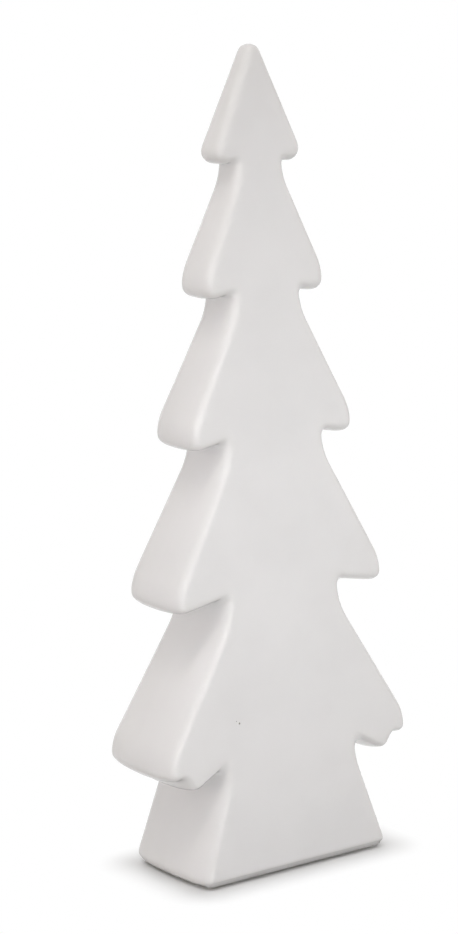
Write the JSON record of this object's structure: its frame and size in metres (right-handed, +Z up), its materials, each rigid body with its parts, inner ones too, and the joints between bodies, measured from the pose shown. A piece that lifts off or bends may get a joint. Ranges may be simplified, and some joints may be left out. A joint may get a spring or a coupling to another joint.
{
  "type": "ceramic christmas tree",
  "caption": "Hollow white glazed ceramic christmas tree, flat-faced with stepped tiers over a flared trunk, thicker at the foot, standing on felt pads as a table decoration.",
  "frame": {"origin": "on the floor under the middle of the foot", "axes": "+Z up, front face towards -Y, width along X"},
  "size_m": [0.1114, 0.0472, 0.3007],
  "materials": {
    "glaze": "white satin to gloss glaze over slip-cast clay, underside ground bare",
    "felt": "pressed wool felt, self-adhesive"
  },
  "bodies": {
    "root": {"cast_body": "glaze", "pad_front_left": "felt", "pad_front_right": "felt", "pad_rear_left": "felt", "pad_rear_right": "felt"}
  },
  "joints": []
}
